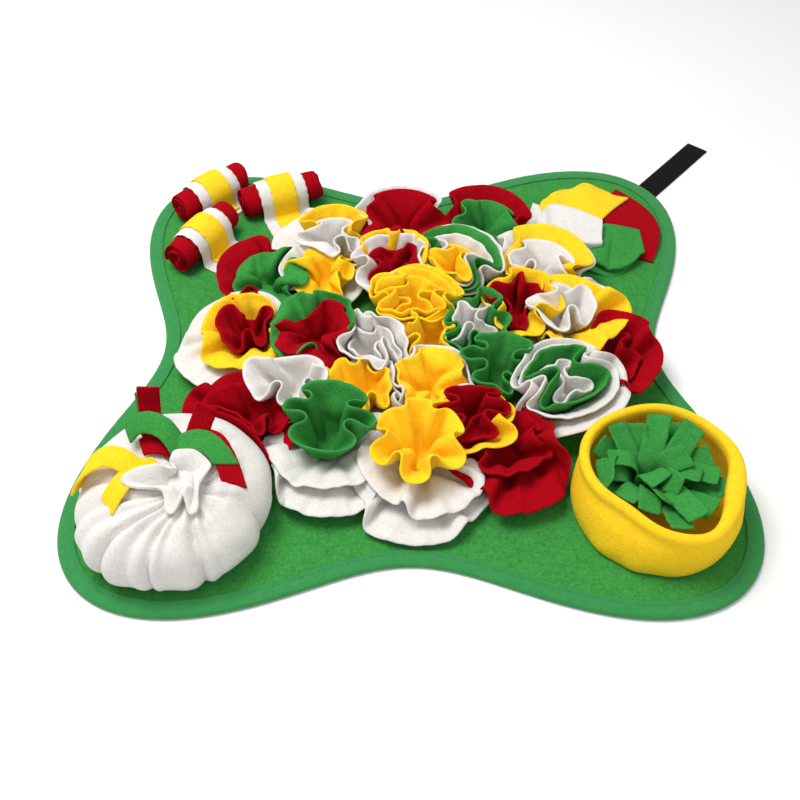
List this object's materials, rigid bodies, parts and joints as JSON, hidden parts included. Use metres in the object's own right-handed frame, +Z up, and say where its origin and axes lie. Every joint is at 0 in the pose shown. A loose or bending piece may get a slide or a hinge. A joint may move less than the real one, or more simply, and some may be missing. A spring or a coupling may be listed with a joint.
{
  "type": "snuffle mat",
  "caption": "Four-lobed fleece foraging mat with a bound edge, ruffled rounds, banded rolls, a flap pocket, a gathered pouch, a soft bowl with a tuft and a webbing strap.",
  "frame": {"origin": "middle of the mat on the floor it rests on; the lobes reach about 0.25 m out along X and Y", "axes": "+Z up, away from the mat's underside; +X towards the side with the bowl and the strap, +Y towards the side with the rolls and the strap"},
  "size_m": [0.5594, 0.5504, 0.0827],
  "materials": {
    "mat_fleece": "short dense fleece",
    "fleece_green": "matte brushed fleece",
    "fleece_white": "matte brushed fleece",
    "fleece_yellow": "matte brushed fleece",
    "fleece_red": "matte brushed fleece",
    "binding_tape": "twill tape with a slight sheen",
    "webbing": "flat woven strap"
  },
  "bodies": {
    "root": {"bowl": "fleece_yellow", "edge_binding": "binding_tape", "flap_green": "fleece_green", "flap_red": "fleece_red", "flap_white": "fleece_white", "flap_yellow": "fleece_yellow", "mat_base": "mat_fleece", "pouch": "fleece_white", "roll_front_core": "fleece_red", "roll_front_white": "fleece_white", "roll_front_yellow": "fleece_yellow", "roll_rear_core": "fleece_red", "roll_rear_white": "fleece_white", "roll_rear_yellow": "fleece_yellow", "roll_right_core": "fleece_red", "roll_right_white": "fleece_white", "roll_right_yellow": "fleece_yellow", "round_back_left_inner": "fleece_yellow", "round_back_left_outer": "fleece_white", "round_back_middle_inner": "fleece_red", "round_back_middle_outer": "fleece_white", "round_back_right_inner": "fleece_green", "round_back_right_outer": "fleece_red", "round_centre": "fleece_yellow", "round_edge_lower": "fleece_red", "round_edge_right": "fleece_white", "round_front_left_inner": "fleece_green", "round_front_left_outer": "fleece_white", "round_front_middle_inner": "fleece_yellow", "round_front_middle_outer": "fleece_white", "round_front_right_outer": "fleece_red", "round_inner_left": "fleece_white", "round_inner_right": "fleece_green", "round_lower_cup": "fleece_green", "round_lower_inner": "fleece_yellow", "round_lower_left": "fleece_red", "round_lower_middle": "fleece_yellow", "round_lower_right_inner": "fleece_green", "round_lower_right_outer": "fleece_white", "round_lower_white": "fleece_white", "round_upper_gap": "fleece_white", "round_upper_inner_inner": "fleece_yellow", "round_upper_inner_outer": "fleece_green", "round_upper_left_inner": "fleece_green", "round_upper_left_outer": "fleece_red", "round_upper_middle": "fleece_white", "round_upper_right_inner": "fleece_white", "round_upper_right_outer": "fleece_yellow", "round_waist_inner_inner": "fleece_red", "round_waist_inner_outer": "fleece_green", "round_waist_left_inner": "fleece_yellow", "round_waist_left_outer": "fleece_white", "round_waist_right": "fleece_yellow", "strap": "webbing", "strip_tuft": "fleece_green", "tie_green": "fleece_green", "tie_red_hanging": "fleece_red", "tie_red_left": "fleece_red", "tie_red_right": "fleece_red", "tie_yellow": "fleece_yellow"}
  },
  "joints": []
}
